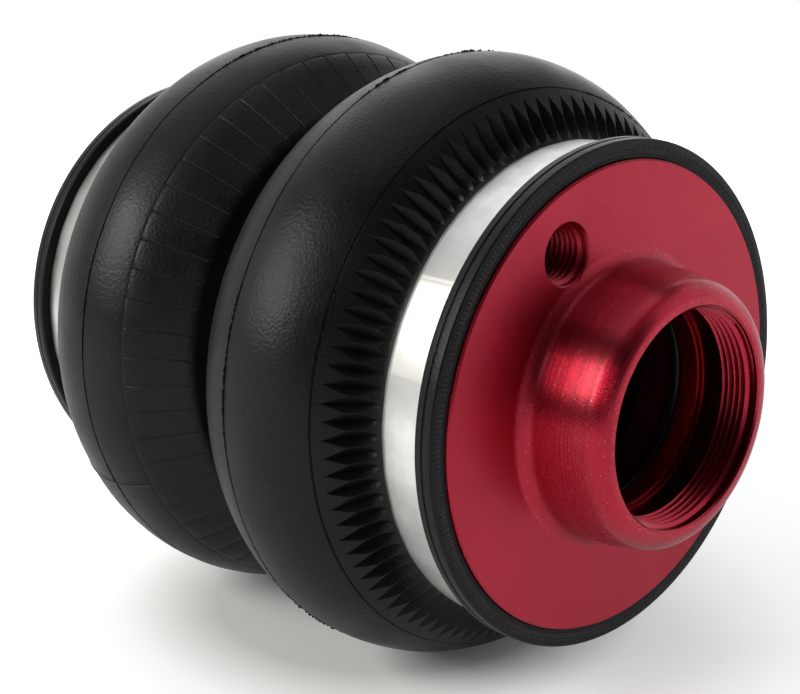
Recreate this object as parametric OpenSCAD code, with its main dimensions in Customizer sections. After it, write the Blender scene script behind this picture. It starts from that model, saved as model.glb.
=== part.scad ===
// Air bellows actuator: a rubber sleeve with two convolutions, crimped onto two end caps.
// The stroke axis is +X, from the base cap to the threaded hub. +Z is up. Units are mm.
// The origin is the centre of the base cap's outer face. The part lies on its crowns.

/* [Sleeve] */
// Diameter of the sleeve under the crimp bands, which the caps and bands follow
neck_diameter = 106; // [100:0.5:112]
// Height of each crown over the neck
crown_height = 18; // [16.5:0.25:21]
// Distance from one crown to the other along the axis
crown_spacing = 60.2; // [58:0.1:66]
// Radius of the rounded crown in section
crown_radius = 26.5; // [25:0.1:27.5]
// Steepness of the flank that runs down to the crimp band, in degrees
end_flank_angle = 62; // [56:1:68]
// Steepness of the flank that runs down to the valley, in degrees
valley_flank_angle = 42; // [38:1:46]
// Hollow radius where the end flank meets the neck
neck_fillet = 3; // [2:0.1:4]

/* [Valley] */
// Drop of the valley floor below the neck
valley_drop = 2; // [0.5:0.25:4]
// Half width of the valley just below its rounded edge
valley_half_width = 3.5; // [3.2:0.1:4.5]
// Steepness of the valley wall, in degrees
valley_wall_angle = 78; // [74:1:82]
// Hollow radius at the foot of the valley wall
valley_fillet = 1.5; // [1.2:0.1:1.8]
// Radius left on the inside of the sleeve at the valley edge
valley_inner_radius = 0.6; // [0.4:0.1:1]
// Thickness of the hoop that keeps the valley from ballooning
hoop_wire_diameter = 2.6; // [2:0.1:3]
// Room between the hoop and the valley floor
hoop_clearance = 0.1; // [0.05:0.01:0.2]

/* [Flank notches] */
// Number of notches round each end flank
notch_count = 100; // [80:1:100]
// Angle on the crown's arc where the point of a notch lies, in degrees
notch_tip_angle = 44; // [43:0.5:48]
// Length of a notch's keel
notch_length = 10; // [8.5:0.1:10.4]
// Angle at which the keel dives under the flank, in degrees
notch_dive = 8.5; // [6:0.5:10]
// Share of the pitch that a notch may fill
notch_fill = 0.99; // [0.97:0.01:0.99]
// How far the cutter stands out past the point
notch_overrun = 2.5; // [2:0.1:4]
// Angle of the first notch, in degrees
notch_phase = 1; // [0:0.1:3.6]

/* [Laminate] */
// Thickness of the outer cover
cover_thickness = 2.15; // [2:0.05:2.6]
// Thickness of each cord ply
ply_thickness = 0.5; // [0.4:0.05:0.7]
// Thickness of the inner liner
liner_thickness = 0.75; // [0.5:0.05:1]
// Bond line between two layers
bond_gap = 0.04; // [0.03:0.01:0.06]

/* [Sleeve end] */
// Height of the lip over the neck
lip_height = 3.3; // [2.5:0.1:4]
// Width of the lip along the axis
lip_width = 4.7; // [4.2:0.1:5.5]
// Distance of the cut end of the lip behind the cap face
lip_setback = 0.8; // [0.5:0.1:1.2]
// Bevel on the outer edges of the lip
lip_bevel = 0.6; // [0.3:0.1:0.9]
// Steepness of the shoulder inside the lip, in degrees
shoulder_angle = 60; // [55:1:65]
// How far the shoulder of the cover starts past the foot of the lip
shoulder_offset = 0.1; // [0:0.05:0.3]

/* [Crimp bands] */
// Width of a crimp band
band_width = 11; // [9:0.5:13]
// Thickness of a crimp band
band_thickness = 1.2; // [1:0.1:1.5]
// Room on each side of a band, to the flank and to the lip
band_side_gap = 0.4; // [0.2:0.1:0.6]
// Room between a band and the neck of the sleeve
band_clearance = 0.1; // [0.05:0.01:0.2]
// Bevel on the edges of a band
band_bevel = 0.25; // [0.1:0.05:0.4]

/* [End caps] */
// Gap between the rim of a cap and the lip of the sleeve
rim_gap = 0.28; // [0.2:0.01:0.4]
// Room between a cap and the inside of the sleeve
seat_clearance = 0.1; // [0.05:0.01:0.2]
// Thickness of the plate of a cap
plate_thickness = 12; // [11:0.5:14]
// Thickness of the skirt that carries the sleeve
skirt_thickness = 6.9; // [5.5:0.1:7.5]
// How far the skirt reaches past the neck
skirt_overhang = 3.8; // [2.5:0.1:4.5]
// Bevel at the end of the skirt
skirt_bevel = 1.5; // [1:0.1:2]
// Bevel on the rim of a cap
rim_bevel = 0.4; // [0.2:0.1:0.6]
// Hollow radius in the corner under the plate
recess_fillet = 3; // [2:0.5:4]
// Number of grip grooves round the skirt
grip_grooves = 3; // [2:1:4]
// Width of a grip groove
grip_groove_width = 1.6; // [1.2:0.1:1.8]
// Depth of a grip groove
grip_groove_depth = 0.5; // [0.3:0.1:0.7]

/* [Threaded hub] */
// Diameter of the hub
hub_diameter = 60.8; // [58:0.1:64]
// Height of the hub over the cap face
hub_height = 19.1; // [17:0.1:22]
// Radius on the outer edge of the hub
hub_edge_radius = 2.4; // [1.8:0.1:4.3]
// Hollow radius at the foot of the hub
hub_root_radius = 3.2; // [2.6:0.1:6]
// Major diameter of the hub thread
hub_thread_diameter = 48; // [45:0.5:49]
// Pitch of the hub thread, which with its turns sets its length
hub_thread_pitch = 1.5; // [1:0.25:2]
// Width of the bevel at the hub mouth, measured outward
hub_mouth_bevel = 1; // [0.6:0.1:1.2]
// Depth of that bevel, down to the first full thread
mouth_bevel_depth = 1.2; // [0.8:0.1:1.8]
// Number of full turns of the hub thread
hub_thread_turns = 6; // [5:1:7]
// Depth of the run-out groove below the thread
hub_relief_depth = 0.4; // [0.2:0.1:0.6]
// Height of the seal seat edge over the cap face
seat_edge_height = 4.2; // [3:0.1:5]
// Bevel that leads the strut into the seal seat
seat_bevel = 0.65; // [0.4:0.05:0.9]
// Diameter of the seal seat
hub_seat_diameter = 45.5; // [42:0.5:46]
// Distance of the hub seal groove below the cap face
hub_groove_depth = 1; // [0.5:0.1:3]

/* [Seals] */
// Cord thickness of the hub O-ring
hub_cord = 2.65; // [2.4:0.05:3]
// Cord thickness of the base O-ring
base_cord = 2.65; // [2.4:0.05:3]
// How far an O-ring stands proud of its bore
seal_proud = 0.2; // [0.15:0.01:0.24]
// Room between an O-ring and the floor of its groove
seal_clearance = 0.05; // [0.02:0.01:0.1]
// Extra width of a seal groove over the cord
seal_groove_extra = 0.95; // [0.7:0.05:1.2]

/* [Air port] */
// Diameter of the air port at the thread roots
port_diameter = 13; // [11:0.1:13.6]
// Bevel at the mouth of the air port
port_bevel = 0.35; // [0.2:0.05:0.6]
// How far the air port lies inward of the middle between hub and rim
port_inset = 1.8; // [0:0.1:3]
// Angle of the air port round the axis, from +Y towards +Z
port_angle = 117.9; // [0:0.1:360]
// Depth of the air port below the plate
port_break_through = 1; // [1:0.5:4]

/* [Base end] */
// Diameter of the rod bore in the base cap
rod_bore_diameter = 22; // [16:0.5:26]
// Bevel at the mouth of the rod bore
rod_bore_bevel = 0.8; // [0.4:0.1:1.2]
// Distance of the base seal groove below the base face
base_groove_depth = 4; // [3:0.1:5]

/* [Hidden] */
$fn = 96;

// Layer faces, counted inward from the outside of the sleeve
cover_in = cover_thickness;
outer_ply_out = cover_in + bond_gap;
outer_ply_in = outer_ply_out + ply_thickness;
inner_ply_out = outer_ply_in + bond_gap;
inner_ply_in = inner_ply_out + ply_thickness;
liner_out = inner_ply_in + bond_gap;
wall = liner_out + liner_thickness;

// Centres of the arcs of the sleeve section, as [radius, distance from the middle]
neck_r = neck_diameter / 2;
crown_r = neck_r + crown_height;
lip_r = neck_r + lip_height;
valley_r = neck_r - valley_drop;
crown_centre = [crown_r - crown_radius, crown_spacing / 2];
end_normal = [cos(end_flank_angle), sin(end_flank_angle)];
valley_normal = [cos(valley_flank_angle), -sin(valley_flank_angle)];
wall_normal = [cos(valley_wall_angle), -sin(valley_wall_angle)];
neck_start = (end_normal * crown_centre + crown_radius + neck_fillet
    - end_normal.x * (neck_r + neck_fillet)) / end_normal.y;
neck_centre = [neck_r + neck_fillet, neck_start];
corner_radius = wall + valley_inner_radius;
corner_u = valley_half_width - corner_radius * wall_normal.y;
corner_centre = [
    (valley_normal * crown_centre + crown_radius - corner_radius - valley_normal.y * corner_u)
        / valley_normal.x,
    corner_u
];
floor_half = (wall_normal * corner_centre + corner_radius + valley_fillet
    - wall_normal.x * (valley_r + valley_fillet)) / wall_normal.y;
floor_centre = [valley_r + valley_fillet, floor_half];

// Cutter of a flank notch: a square bar that stands on one edge, the keel, in a plane through the axis
notch_tip = crown_centre + crown_radius * [cos(notch_tip_angle), sin(notch_tip_angle)];
flank_end = neck_centre - neck_fillet * end_normal;
flank_run = (flank_end - notch_tip) / norm(flank_end - notch_tip);
flank_in = [-flank_run.y, flank_run.x];
keel_run = cos(notch_dive) * flank_run + sin(notch_dive) * flank_in;
keel_end = notch_tip + notch_length * keel_run;
keel_turn = atan2(keel_run.x, -keel_run.y);
notch_side = notch_fill * sqrt(2) * keel_end.x * sin(180 / notch_count);

// Stations along the axis, counted from the middle of the sleeve
band_start = neck_start + band_side_gap;
band_end = band_start + band_width;
lip_start = band_end + band_side_gap;
lip_end = lip_start + lip_width;
face_u = lip_end + lip_setback;
shoulder_base = lip_start + shoulder_offset - cover_in * tan(shoulder_angle / 2);
middle_x = face_u;
hub_face_x = 2 * face_u;

// End caps
waist_r = neck_r - wall - seat_clearance;
flange_r = lip_r - wall - rim_gap;
skirt_end = neck_start - skirt_overhang;
recess_r = waist_r - skirt_thickness;
plate_u = face_u - plate_thickness;
hub_r = hub_diameter / 2;
hub_end_u = face_u + hub_height;
thread_r = hub_thread_diameter / 2;
mouth_r = thread_r + hub_mouth_bevel;
thread_start_u = hub_end_u - mouth_bevel_depth;
thread_end_u = thread_start_u - hub_thread_turns * hub_thread_pitch;
relief_r = thread_r + hub_relief_depth;
hub_seat_r = hub_seat_diameter / 2;
seat_edge_u = face_u + seat_edge_height;
port_r = port_diameter / 2;
port_offset = (hub_r + flange_r) / 2 - port_inset;
port_y = port_offset * cos(port_angle);
port_z = port_offset * sin(port_angle);
rod_r = rod_bore_diameter / 2;

// Start of the shoulder inside the lip on a face that lies t below the outside
function shoulder_start(t) = shoulder_base + t * tan(shoulder_angle / 2);

// Corner points of one half of the sleeve section on a face that lies t below the outside
function half_points(t, over) = concat(
    [
        [valley_r - t, floor_half],
        floor_centre,
        floor_centre - (valley_fillet + t) * wall_normal,
        corner_centre + (corner_radius - t) * wall_normal,
        corner_centre,
        corner_centre + (corner_radius - t) * valley_normal,
        crown_centre + (crown_radius - t) * valley_normal,
        crown_centre,
        crown_centre + (crown_radius - t) * end_normal,
        neck_centre - (neck_fillet + t) * end_normal,
        neck_centre,
        [neck_r - t, neck_start]
    ],
    t == 0 ? [
        [neck_r, lip_start],
        [lip_r - lip_bevel, lip_start],
        [lip_r, lip_start + lip_bevel],
        [lip_r, lip_end - lip_bevel],
        [lip_r - lip_bevel, lip_end]
    ] : [
        [neck_r - t, shoulder_start(t)],
        [lip_r - t, shoulder_start(t) + (lip_r - neck_r) / tan(shoulder_angle)],
        [lip_r - t, lip_end + over]
    ],
    [[10, lip_end + over]]
);

function reversed(list) = [for (i = [len(list) - 1:-1:0]) list[i]];

function mirrored(list) = [for (p = list) [p.x, -p.y]];

// Everything that lies inside a face t below the outside of the sleeve
module inside_section(t, over) {
    difference() {
        union() {
            polygon(concat(half_points(t, over), reversed(mirrored(half_points(t, over)))));
            for (s = [-1, 1]) {
                translate([crown_centre.x, s * crown_centre.y]) circle(crown_radius - t);
                translate([corner_centre.x, s * corner_centre.y]) circle(corner_radius - t);
            }
        }
        for (s = [-1, 1]) {
            translate([floor_centre.x, s * floor_centre.y]) circle(valley_fillet + t);
            translate([neck_centre.x, s * neck_centre.y]) circle(neck_fillet + t);
        }
    }
}

// Turns a section drawn as [radius, distance from the middle] about the stroke axis
module turned() {
    translate([middle_x, 0, 0]) rotate([0, 90, 0]) rotate_extrude() children();
}

// One layer of the sleeve between two depths below the outside
module sleeve_layer(outside, inside) {
    turned() difference() {
        inside_section(outside, 0);
        inside_section(inside, 1);
    }
}

// One notch on the hub side: two sloping sides that meet in a keel, a point at the crown and a blunt foot
module notch_cutter() {
    translate([middle_x + keel_end.y, 0, keel_end.x]) rotate([0, keel_turn, 0]) rotate([225, 0, 0])
        cube([notch_length + notch_overrun, notch_side, notch_side]);
}

module flank_notches() {
    for (i = [0:notch_count - 1])
        rotate([notch_phase + i * 360 / notch_count, 0, 0]) notch_cutter();
}

module outer_cover() {
    color([0.13, 0.13, 0.14]) difference() {
        sleeve_layer(0, cover_in);
        flank_notches();
        translate([2 * middle_x, 0, 0]) mirror([1, 0, 0]) flank_notches();
    }
}

module outer_cord_ply() {
    color([0.32, 0.30, 0.27]) sleeve_layer(outer_ply_out, outer_ply_in);
}

module inner_cord_ply() {
    color([0.36, 0.34, 0.30]) sleeve_layer(inner_ply_out, inner_ply_in);
}

module inner_liner() {
    color([0.10, 0.10, 0.11]) sleeve_layer(liner_out, wall);
}

module girdle_hoop() {
    color([0.18, 0.18, 0.19]) turned()
        translate([valley_r + hoop_clearance + hoop_wire_diameter / 2, 0])
            circle(hoop_wire_diameter / 2);
}

// Section of a crimp band on the hub side
module band_section() {
    inner = neck_r + band_clearance;
    outer = inner + band_thickness;
    polygon([
        [inner, band_start], [outer - band_bevel, band_start], [outer, band_start + band_bevel],
        [outer, band_end - band_bevel], [outer - band_bevel, band_end], [inner, band_end]
    ]);
}

module hub_crimp_band() {
    color([0.78, 0.79, 0.80]) turned() band_section();
}

module base_crimp_band() {
    color([0.78, 0.79, 0.80]) turned() mirror([0, 1]) band_section();
}

// Plate, rim and skirt that both caps share, on the hub side
module cap_section() {
    shoulder_u = shoulder_start(wall + seat_clearance);
    rim_u = shoulder_u + (flange_r - waist_r) / tan(shoulder_angle);
    grip_pitch = band_width / grip_grooves;
    difference() {
        polygon([
            [0, skirt_end], [waist_r - skirt_bevel, skirt_end], [waist_r, skirt_end + skirt_bevel],
            [waist_r, shoulder_u], [flange_r, rim_u], [flange_r, face_u - rim_bevel],
            [flange_r - rim_bevel, face_u], [0, face_u]
        ]);
        difference() {
            translate([-1, skirt_end - 1]) square([recess_r + 1, plate_u - skirt_end + 1]);
            translate([recess_r - recess_fillet, plate_u - recess_fillet]) difference() {
                square([recess_fillet + 1, recess_fillet + 1]);
                circle(recess_fillet);
            }
        }
        for (i = [0:grip_grooves - 1])
            translate([
                waist_r - grip_groove_depth,
                band_start + (i + 0.5) * grip_pitch - grip_groove_width / 2
            ])
                square([grip_groove_depth + 1, grip_groove_width]);
    }
}

// Groove for an O-ring in a bore of the given radius, with its upper edge at the given station
module groove_section(bore, cord, top) {
    floor_r = bore - seal_proud + cord + seal_clearance;
    translate([0, top - cord - seal_groove_extra]) square([floor_r, cord + seal_groove_extra]);
}

// O-ring that lies in the middle of such a groove
module ring_section(bore, cord, top) {
    translate([bore - seal_proud + cord / 2, top - (cord + seal_groove_extra) / 2]) circle(cord / 2);
}

// Outside of the threaded hub with its rounded edge and its hollow foot
module hub_section() {
    translate([0, face_u - 1]) square([hub_r, hub_height + 1 - hub_edge_radius]);
    translate([0, face_u - 1]) square([hub_r - hub_edge_radius, hub_height + 1]);
    translate([hub_r - hub_edge_radius, hub_end_u - hub_edge_radius]) circle(hub_edge_radius);
    difference() {
        translate([hub_r - 1, face_u - 1]) square(hub_root_radius + 1);
        translate([hub_r + hub_root_radius, face_u + hub_root_radius]) circle(hub_root_radius);
    }
}

// Bore of the hub: bevelled mouth, thread, run-out groove, lead-in and seal seat
module hub_bore_section() {
    polygon([
        [-1, plate_u - 1], [hub_seat_r, plate_u - 1], [hub_seat_r, seat_edge_u - 2 * seat_bevel],
        [hub_seat_r + seat_bevel, seat_edge_u], [relief_r, seat_edge_u], [relief_r, thread_end_u],
        [thread_r, thread_end_u], [thread_r, thread_start_u], [mouth_r, hub_end_u],
        [mouth_r, hub_end_u + 1], [-1, hub_end_u + 1]
    ]);
}

// Air port through the plate of the hub cap, with a bevelled mouth
module port_hole() {
    depth = plate_thickness + port_break_through;
    translate([hub_face_x, port_y, port_z]) rotate([0, 90, 0]) {
        translate([0, 0, -depth]) cylinder(r = port_r, h = depth + hub_root_radius);
        translate([0, 0, -port_bevel]) cylinder(r1 = port_r, r2 = port_r + 2 * port_bevel, h = 2 * port_bevel);
    }
}

module hub_end_cap() {
    color([0.62, 0.11, 0.16]) difference() {
        turned() difference() {
            union() {
                cap_section();
                hub_section();
            }
            hub_bore_section();
            groove_section(hub_seat_r, hub_cord, face_u - hub_groove_depth);
        }
        port_hole();
    }
}

module base_end_cap() {
    color([0.62, 0.11, 0.16]) turned() mirror([0, 1]) difference() {
        cap_section();
        polygon([
            [-1, plate_u - 1], [rod_r, plate_u - 1], [rod_r, face_u - rod_bore_bevel],
            [rod_r + rod_bore_bevel, face_u], [rod_r + rod_bore_bevel, face_u + 1], [-1, face_u + 1]
        ]);
        groove_section(rod_r, base_cord, face_u - base_groove_depth);
    }
}

module hub_seal_o_ring() {
    color([0.08, 0.08, 0.09]) turned() ring_section(hub_seat_r, hub_cord, face_u - hub_groove_depth);
}

module base_seal_o_ring() {
    color([0.08, 0.08, 0.09]) turned() mirror([0, 1])
        ring_section(rod_r, base_cord, face_u - base_groove_depth);
}

base_end_cap();
base_crimp_band();
base_seal_o_ring();
outer_cover();
outer_cord_ply();
inner_cord_ply();
inner_liner();
girdle_hoop();
hub_end_cap();
hub_crimp_band();
hub_seal_o_ring();
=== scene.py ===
"""Air bellows with two convolutions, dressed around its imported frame.

The stroke axis is +X and +Z is up. The shape functions work in millimetres and put_mesh turns
them into metres. A point of the sleeve is given by its radius from the axis, its station (the
distance from the sleeve's middle plane) and its angle, counted from +Y towards +Z.
"""

from math import pi, radians, tan

import bmesh
import bpy
import numpy as np
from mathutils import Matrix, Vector


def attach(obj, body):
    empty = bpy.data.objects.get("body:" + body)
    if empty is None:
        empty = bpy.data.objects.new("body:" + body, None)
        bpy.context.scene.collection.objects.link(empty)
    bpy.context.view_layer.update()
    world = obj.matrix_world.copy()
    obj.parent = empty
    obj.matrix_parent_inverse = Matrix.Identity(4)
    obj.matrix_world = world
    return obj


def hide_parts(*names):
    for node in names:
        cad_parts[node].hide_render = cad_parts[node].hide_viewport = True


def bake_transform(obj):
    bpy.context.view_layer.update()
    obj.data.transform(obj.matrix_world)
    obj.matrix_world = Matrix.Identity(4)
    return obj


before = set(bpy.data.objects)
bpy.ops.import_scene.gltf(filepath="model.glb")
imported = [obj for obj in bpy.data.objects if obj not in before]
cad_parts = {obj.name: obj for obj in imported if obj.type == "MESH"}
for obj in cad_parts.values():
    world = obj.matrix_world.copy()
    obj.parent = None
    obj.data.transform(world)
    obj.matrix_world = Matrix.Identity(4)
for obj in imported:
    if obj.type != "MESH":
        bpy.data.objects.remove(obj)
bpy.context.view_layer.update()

MM = 0.001

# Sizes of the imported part, in millimetres
MIDDLE = 74.6962
HUB_FACE = 2 * MIDDLE
FLOOR_Z = -71.0
CROWN, CROWN_R = (44.5, 30.1), 26.5
EDGE, EDGE_R = (54.0607, 8.0190), 4.62
VALLEY_HOLLOW, VALLEY_HOLLOW_R = (52.5, 1.4306), 1.5
NECK_HOLLOW, NECK_HOLLOW_R = (56.0, 57.396), 3.0
VALLEY_R, NECK_R, LIP_R = 51.0, 53.0, 56.3
VALLEY_FLANK, VALLEY_WALL, END_FLANK, SHOULDER = 42.0, 78.0, 62.0, 60.0
LIP_START, LIP_END = 69.196, 73.896
SHOULDER_BASE = 68.055
COVER_WALL = 4.02
COVER_IN, OUTER_PLY, INNER_PLY, LINER = 2.15, (2.19, 2.69), (2.73, 3.23), (3.27, 4.02)
BAND_START, BAND_END, BAND_IN, BAND_OUT = 57.796, 68.796, 53.1, 54.3
THREAD_R, THREAD_PITCH, THREAD_START, THREAD_END = 24.0, 1.5, 158.292, 167.292
PORT_Y, PORT_Z, PORT_R, PORT_PITCH, PORT_DEPTH = -18.436, 34.820, 6.5, 1.411, 13.0
THREAD_RIDGE, PIPE_TAPER = 0.85, 1 / 32
HUB_R, HUB_LIP_R, HUB_HEIGHT, HUB_EDGE, HUB_FOOT = 30.4, 29.3, 19.1, 4.4, 3.2
SKIRT_R, SKIRT_END, RECESS_R, PLATE_BACK, RIM_R = 48.88, 53.596, 41.98, 62.696, 52.0
SEAL_R, RING_GROOVE_R, RING_GROOVE_TOP, RING_GROOVE_FOOT = 22.75, 25.25, -1.0, -4.6

# Moulded relief of the cover
NOTCHES, NOTCH_DEPTH, NOTCH_PHASE, NOTCH_SLOPE = 100, 1.72, 1.0, 0.88
NOTCH_TIP, NOTCH_FOOT = 45.6, 208.0
SIPES, SIPE_DEPTH, SIPE_HALF, SIPE_DEEPEST = 61, 0.24, 0.05, 120.0
PLEAT_LINE, PARTING_LINE, SIPE_LINE = 41.0, -6.6, -31.1
LINE_HALF, PLEAT_HALF = 0.3, 0.25
SEAM_AT = {1: 282.3, -1: 206.2}


# Mesh helpers


def put_mesh(name, points, faces, sharp=34.0):
    """Makes an object at the origin from points in millimetres and rows of vertex numbers,
    smooth, with edges kept sharp where two faces meet at more than the given angle."""
    mesh = bpy.data.meshes.new(name)
    points = np.asarray(points, float).reshape(-1, 3) * MM
    faces = np.asarray(faces, np.int32)
    sides = faces.shape[1]
    mesh.vertices.add(len(points))
    mesh.vertices.foreach_set("co", points.astype(np.float32).ravel())
    mesh.loops.add(faces.size)
    mesh.loops.foreach_set("vertex_index", faces.ravel())
    mesh.polygons.add(len(faces))
    mesh.polygons.foreach_set("loop_start", np.arange(0, faces.size, sides, dtype=np.int32))
    mesh.update(calc_edges=True)
    mesh.validate()
    mesh.polygons.foreach_set("use_smooth", np.ones(len(mesh.polygons), bool))
    mesh.set_sharp_from_angle(angle=radians(sharp))
    piece = bpy.data.objects.new(name, mesh)
    bpy.context.scene.collection.objects.link(piece)
    return piece


def grid_faces(rows, columns, flip=False):
    """Four-sided faces of a grid that closes on itself both ways, so that it has no open edge."""
    i, j = np.meshgrid(np.arange(rows), np.arange(columns), indexing="ij")
    a, b = i * columns + j, i * columns + (j + 1) % columns
    c, d = (i + 1) % rows * columns + (j + 1) % columns, (i + 1) % rows * columns + j
    order = (a, d, c, b) if flip else (a, b, c, d)
    return np.stack([o.ravel() for o in order], 1)


def arc(centre, radius, degrees):
    """Points of a circle in the section plane: radius is the centre's plus the circle's radius
    times the cosine, station is the centre's plus the circle's radius times the sine."""
    a = np.radians(np.asarray(degrees, float))
    return np.stack([centre[0] + radius * np.cos(a), centre[1] + radius * np.sin(a)], 1)


def between(a, b, count):
    """Evenly spaced points on the straight line from a to b, without its two ends."""
    t = np.linspace(0, 1, count + 2)[1:-1, None]
    return np.asarray(a) * (1 - t) + np.asarray(b) * t


def outward(loop):
    """Unit normals of a closed section loop, from the direction between each point's neighbours."""
    run = np.roll(loop, -1, 0) - np.roll(loop, 1, 0)
    normal = np.stack([run[:, 1], -run[:, 0]], 1)
    return normal / np.maximum(np.linalg.norm(normal, axis=1, keepdims=True), 1e-9)


def turned_piece(name, loop, angles, side, lift=None, sharp=34.0):
    """A section loop carried round the stroke axis. A point at radius r, station s and angle a
    lies at x = middle + side * s, y = r cos a, z = r sin a. Each point of the loop may have its own row
    of angles. lift moves a point along the loop's outward normal, by its own amount for each angle."""
    a = np.radians(angles)
    radius, station = loop[:, :1] + 0 * a, loop[:, 1:] + 0 * a
    if lift is not None:
        normal = outward(loop)
        radius, station = radius + normal[:, :1] * lift, station + normal[:, 1:] * lift
    points = np.stack([MIDDLE + side * station, radius * np.cos(a), radius * np.sin(a)], -1)
    return put_mesh(name, points, grid_faces(len(loop), a.shape[-1], side < 0), sharp)


def wobble(angles, seed, waves, size):
    """A closed random wave round the axis: a sum of cosines of whole wave numbers with random
    phases, scaled to the given size."""
    draw = np.random.default_rng(seed)
    a = np.radians(angles)
    total = sum(np.cos(n * a + draw.uniform(0, 2 * pi)) for n in waves)
    return size * total / len(waves) ** 0.5


# Sections of the sleeve


def shoulder_start(depth):
    """Station where a face that lies depth below the outside leaves the neck for the lip."""
    return SHOULDER_BASE + depth * tan(radians(SHOULDER) / 2)


def crown_side(depth, steps):
    """One face of the sleeve wall, from the middle plane over the crown to the pleat line. It follows
    the outside at a constant depth: arcs that bulge get smaller by the depth, hollow ones larger."""
    return np.concatenate([
        [[VALLEY_R - depth, 0.0]],
        arc(VALLEY_HOLLOW, VALLEY_HOLLOW_R + depth, np.linspace(180, 180 - VALLEY_WALL, 3 * steps)),
        arc(EDGE, EDGE_R - depth, np.linspace(-VALLEY_WALL, -VALLEY_FLANK, 2 * steps)),
        arc(CROWN, CROWN_R - depth, np.linspace(-VALLEY_FLANK, PLEAT_LINE, 10 * steps)),
    ])


def neck_side(depth, steps):
    """The rest of that face, from the pleat line down the end flank and along the neck to the lip."""
    lip = shoulder_start(depth) + (LIP_R - NECK_R) / tan(radians(SHOULDER))
    return np.concatenate([
        arc(CROWN, CROWN_R - depth, np.linspace(PLEAT_LINE, END_FLANK, 3 * steps)),
        arc(NECK_HOLLOW, NECK_HOLLOW_R + depth, np.linspace(180 + END_FLANK, 180, 3 * steps)),
        [[NECK_R - depth, shoulder_start(depth)], [LIP_R - depth, lip], [LIP_R - depth, LIP_END]],
    ])


def layer_loop(outer, inner, steps):
    """Closed section of one layer: out along its outer face and back along its inner one."""
    faces = [np.concatenate([crown_side(d, steps), neck_side(d, steps)[1:]]) for d in (outer, inner)]
    return np.concatenate([faces[0], faces[1][::-1]])


def near_line(at, half):
    """Angles on the crown's arc that resolve a thin line of the given half width in millimetres."""
    return at + np.degrees(half / CROWN_R) * np.array([-1.0, -0.45, 0.0, 0.45, 1.0])


def crown_part():
    """Closed section of the cover from the middle plane to the pleat line. Returns the loop, the angle
    of each point on the crown's arc (or nan) and how much of a sipe's depth each point gets."""
    plain = [np.linspace(-VALLEY_FLANK, -33, 6), np.linspace(-29.5, -9, 14), np.linspace(-4.5, 39, 30)]
    lines = [near_line(SIPE_LINE, LINE_HALF)[1:4], near_line(PARTING_LINE, LINE_HALF),
             near_line(PLEAT_LINE, PLEAT_HALF)[:3]]
    crown = np.sort(np.concatenate(plain + lines))
    edge = arc(EDGE, EDGE_R, np.linspace(-VALLEY_WALL, -VALLEY_FLANK, 8))
    parts = [
        np.array([[VALLEY_R, 0.0]]),
        arc(VALLEY_HOLLOW, VALLEY_HOLLOW_R, np.linspace(180, 180 - VALLEY_WALL, 4)),
        edge,
        between(edge[-1], arc(CROWN, CROWN_R, [-VALLEY_FLANK])[0], 4),
        arc(CROWN, CROWN_R, crown),
        crown_side(COVER_IN, 1)[::-1],
    ]
    on_edge, on_flank, on_crown = 2, 3, 4
    label = np.concatenate([[n] * len(p) for n, p in enumerate(parts)])
    turn, sipe = np.full(len(label), np.nan), np.zeros(len(label))
    turn[label == on_crown] = crown
    sipe[label == on_crown] = np.clip((SIPE_LINE - crown) / 0.5, 0, 1)
    sipe[label == on_flank] = 1.0
    sipe[label == on_edge] = np.clip(np.arange(len(edge)) - 3, 0, 2) / 2
    return np.concatenate(parts), turn, sipe


def pleat_part():
    """Closed section of the cover from the pleat line to the lip. Returns the loop, the angle of each
    point on the crown's arc (or nan) and its way along the notches, from tip (0) to foot (1)."""
    crown = np.concatenate([
        near_line(PLEAT_LINE, PLEAT_HALF)[2:], [42.6, 43.8], np.linspace(NOTCH_TIP, END_FLANK, 20)])
    hollow = np.linspace(180 + END_FLANK, 180, 12)
    corner, rim = 0.9, 0.5
    parts = [
        arc(CROWN, CROWN_R, crown),
        between(arc(CROWN, CROWN_R, [END_FLANK])[0], arc(NECK_HOLLOW, NECK_HOLLOW_R, hollow[:1])[0], 4),
        arc(NECK_HOLLOW, NECK_HOLLOW_R, hollow),
        np.array([[NECK_R, LIP_START - 0.3], [NECK_R + 0.1, LIP_START - 0.1]]),
        arc((LIP_R - corner, LIP_START + corner), corner, np.linspace(-90, 0, 6)),
        np.array([
            [LIP_R, LIP_START + 2.1], [LIP_R - 0.25, LIP_START + 2.2], [LIP_R - 0.34, LIP_START + 2.4],
            [LIP_R - 0.25, LIP_START + 2.6], [LIP_R - 0.06, LIP_START + 2.75]]),
        arc((LIP_R - 0.1 - rim, LIP_END - rim), rim, np.linspace(0, 90, 5)),
        neck_side(COVER_IN, 1)[::-1],
    ]
    on_crown, on_hollow = 0, 2
    label = np.concatenate([[n] * len(p) for n, p in enumerate(parts)])
    loop = np.concatenate(parts)
    turn = np.full(len(loop), np.nan)
    turn[label == on_crown] = crown
    travel = np.concatenate([[0], np.cumsum(np.linalg.norm(np.diff(loop, axis=0), axis=1))])
    first = np.interp(NOTCH_TIP, crown, travel[label == on_crown])
    last = np.interp(-NOTCH_FOOT, -hollow, travel[label == on_hollow])
    reach = np.where(label <= on_hollow, (travel - first) / (last - first), 2.0)
    return loop, turn, reach


def sipe_angles(shift):
    """Angles round the crown: five for each sipe, across its hollow, and two on the land beside it."""
    across = np.append(SIPE_HALF * np.array([-1, -0.5, 0, 0.5, 1]), [0.36, 0.64])
    return (shift + 360 / SIPES * (np.arange(SIPES)[:, None] + across)).ravel()


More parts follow.
